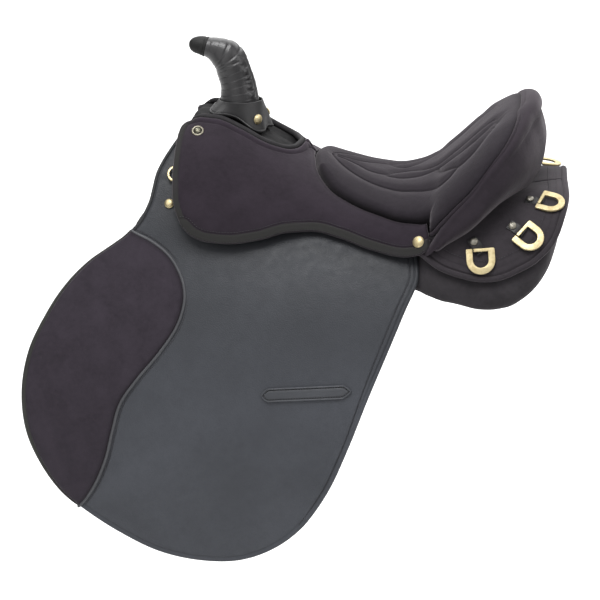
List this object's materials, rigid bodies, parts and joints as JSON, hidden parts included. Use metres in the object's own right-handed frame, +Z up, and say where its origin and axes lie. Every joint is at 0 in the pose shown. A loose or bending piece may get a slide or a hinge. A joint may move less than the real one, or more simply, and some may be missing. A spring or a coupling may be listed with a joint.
{
  "type": "trail saddle",
  "caption": "Trail saddle with a wrapped forward horn, quilted seat, long flaps with knee pads, and a rear skirt with dee rings for packs.",
  "frame": {"origin": "on the centre plane, at the top of the horse's back in the middle of the gullet channel", "axes": "+X to the rear (the saddle faces -X), +Y to the off side (the horse's right), +Z up"},
  "size_m": [0.6967, 0.4984, 0.6493],
  "materials": {
    "suede": "purple-black suede",
    "smooth_leather": "matt blue-grey charcoal, fine grain",
    "gloss_leather": "polished black",
    "binding": "matt black edge binding",
    "panel_lining": "black woven lining over flocking",
    "brass": "bright cast brass",
    "antique_brass": "darkened brass",
    "steel": "plain steel",
    "tree_shell": "moulded tree",
    "horn_post": "moulded post"
  },
  "bodies": {
    "root": {"cantle_back": "suede", "cantle_roll": "suede", "flap_top_left": "smooth_leather", "flap_top_right": "smooth_leather", "front_dee_clip_left": "antique_brass", "front_dee_clip_right": "antique_brass", "front_stud_left": "brass", "front_stud_right": "brass", "gullet_plate": "steel", "horn_collar": "gloss_leather", "horn_collar_rivet_left": "brass", "horn_collar_rivet_right": "brass", "horn_core": "horn_post", "horn_wrap": "gloss_leather", "jockey_front_screw_left": "antique_brass", "jockey_front_screw_right": "antique_brass", "jockey_left": "suede", "jockey_rear_stud_left": "brass", "jockey_rear_stud_right": "brass", "jockey_right": "suede", "panel_left": "panel_lining", "panel_right": "panel_lining", "pommel_cover": "gloss_leather", "pommel_facing": "smooth_leather", "pommel_rim_binding": "binding", "rear_dee_clip_left_1": "antique_brass", "rear_dee_clip_left_2": "antique_brass", "rear_dee_clip_left_3": "antique_brass", "rear_dee_clip_right_1": "antique_brass", "rear_dee_clip_right_2": "antique_brass", "rear_dee_clip_right_3": "antique_brass", "rear_skirt_left": "suede", "rear_skirt_right": "suede", "seat_cushion": "suede", "skirt_piping": "binding", "stirrup_bar_left": "steel", "stirrup_bar_right": "steel", "sweat_flap_left": "smooth_leather", "sweat_flap_right": "smooth_leather", "tree": "tree_shell"},
    "billet_front_left": {"billet_front_left": "smooth_leather"},
    "billet_front_right": {"billet_front_right": "smooth_leather"},
    "billet_rear_left": {"billet_rear_left": "smooth_leather"},
    "billet_rear_right": {"billet_rear_right": "smooth_leather"},
    "flap_left": {"flap_left": "smooth_leather", "knee_pad_left": "suede", "strap_keeper_left": "smooth_leather"},
    "flap_right": {"flap_right": "smooth_leather", "knee_pad_right": "suede", "strap_keeper_right": "smooth_leather"},
    "front_dee_left": {"front_dee_left": "brass"},
    "front_dee_right": {"front_dee_right": "brass"},
    "rear_dee_left_1": {"rear_dee_left_1": "brass"},
    "rear_dee_left_2": {"rear_dee_left_2": "brass"},
    "rear_dee_left_3": {"rear_dee_left_3": "brass"},
    "rear_dee_right_1": {"rear_dee_right_1": "brass"},
    "rear_dee_right_2": {"rear_dee_right_2": "brass"},
    "rear_dee_right_3": {"rear_dee_right_3": "brass"},
    "stirrup_catch_left": {"stirrup_catch_left": "steel"},
    "stirrup_catch_right": {"stirrup_catch_right": "steel"}
  },
  "joints": [
    {"name": "billet_front_left_swing", "type": "hinge", "parent": "root", "child": "billet_front_left", "pos_m": [-0.11086, -0.13559, -0.00751], "axis": [0, 1, 0], "range_deg": [-6, 6]},
    {"name": "billet_front_right_swing", "type": "hinge", "parent": "root", "child": "billet_front_right", "pos_m": [-0.11086, 0.13559, -0.00751], "axis": [0, 1, 0], "range_deg": [-6, 6]},
    {"name": "billet_rear_left_swing", "type": "hinge", "parent": "root", "child": "billet_rear_left", "pos_m": [-0.03, -0.13326, -0.00796], "axis": [0, 1, 0], "range_deg": [-6, 6]},
    {"name": "billet_rear_right_swing", "type": "hinge", "parent": "root", "child": "billet_rear_right", "pos_m": [-0.03, 0.13326, -0.00796], "axis": [0, 1, 0], "range_deg": [-6, 6]},
    {"name": "flap_left_lift", "type": "hinge", "parent": "root", "child": "flap_left", "pos_m": [-0.0735, -0.1495, -0.008], "axis": [-0.9923, 0.0447, 0.1158], "range_deg": [0, 40]},
    {"name": "flap_right_lift", "type": "hinge", "parent": "root", "child": "flap_right", "pos_m": [-0.0735, 0.1495, -0.008], "axis": [0.9923, 0.0447, -0.1158], "range_deg": [0, 40]},
    {"name": "front_dee_left_swing", "type": "hinge", "parent": "root", "child": "front_dee_left", "pos_m": [-0.2012, -0.11029, 0.08391], "axis": [-0.1974, 0.6006, 0.7748], "range_deg": [0, 25]},
    {"name": "front_dee_right_swing", "type": "hinge", "parent": "root", "child": "front_dee_right", "pos_m": [-0.2012, 0.11029, 0.08391], "axis": [0.1974, 0.6006, -0.7748], "range_deg": [0, 25]},
    {"name": "rear_dee_left_1_swing", "type": "hinge", "parent": "root", "child": "rear_dee_left_1", "pos_m": [0.1887, -0.16279, 0.00838], "axis": [-0.9942, -0.0566, -0.0912], "range_deg": [0, 120]},
    {"name": "rear_dee_left_2_swing", "type": "hinge", "parent": "root", "child": "rear_dee_left_2", "pos_m": [0.2396, -0.14652, 0.03048], "axis": [-0.6081, -0.5268, -0.5939], "range_deg": [0, 120]},
    {"name": "rear_dee_left_3_swing", "type": "hinge", "parent": "root", "child": "rear_dee_left_3", "pos_m": [0.263, -0.10201, 0.06069], "axis": [-0.3254, -0.8953, -0.3043], "range_deg": [0, 120]},
    {"name": "rear_dee_right_1_swing", "type": "hinge", "parent": "root", "child": "rear_dee_right_1", "pos_m": [0.1887, 0.16279, 0.00838], "axis": [0.9942, -0.0566, 0.0912], "range_deg": [0, 120]},
    {"name": "rear_dee_right_2_swing", "type": "hinge", "parent": "root", "child": "rear_dee_right_2", "pos_m": [0.2396, 0.14652, 0.03048], "axis": [0.6081, -0.5268, 0.5939], "range_deg": [0, 120]},
    {"name": "rear_dee_right_3_swing", "type": "hinge", "parent": "root", "child": "rear_dee_right_3", "pos_m": [0.263, 0.10201, 0.06069], "axis": [0.3254, -0.8953, 0.3043], "range_deg": [0, 120]},
    {"name": "stirrup_catch_left_turn", "type": "hinge", "parent": "root", "child": "stirrup_catch_left", "pos_m": [-0.07653, -0.09381, 0.05443], "axis": [0.2985, -0.6881, 0.6613], "range_deg": [0, 90]},
    {"name": "stirrup_catch_right_turn", "type": "hinge", "parent": "root", "child": "stirrup_catch_right", "pos_m": [-0.07653, 0.09381, 0.05443], "axis": [-0.2985, -0.6881, -0.6613], "range_deg": [0, 90]}
  ]
}
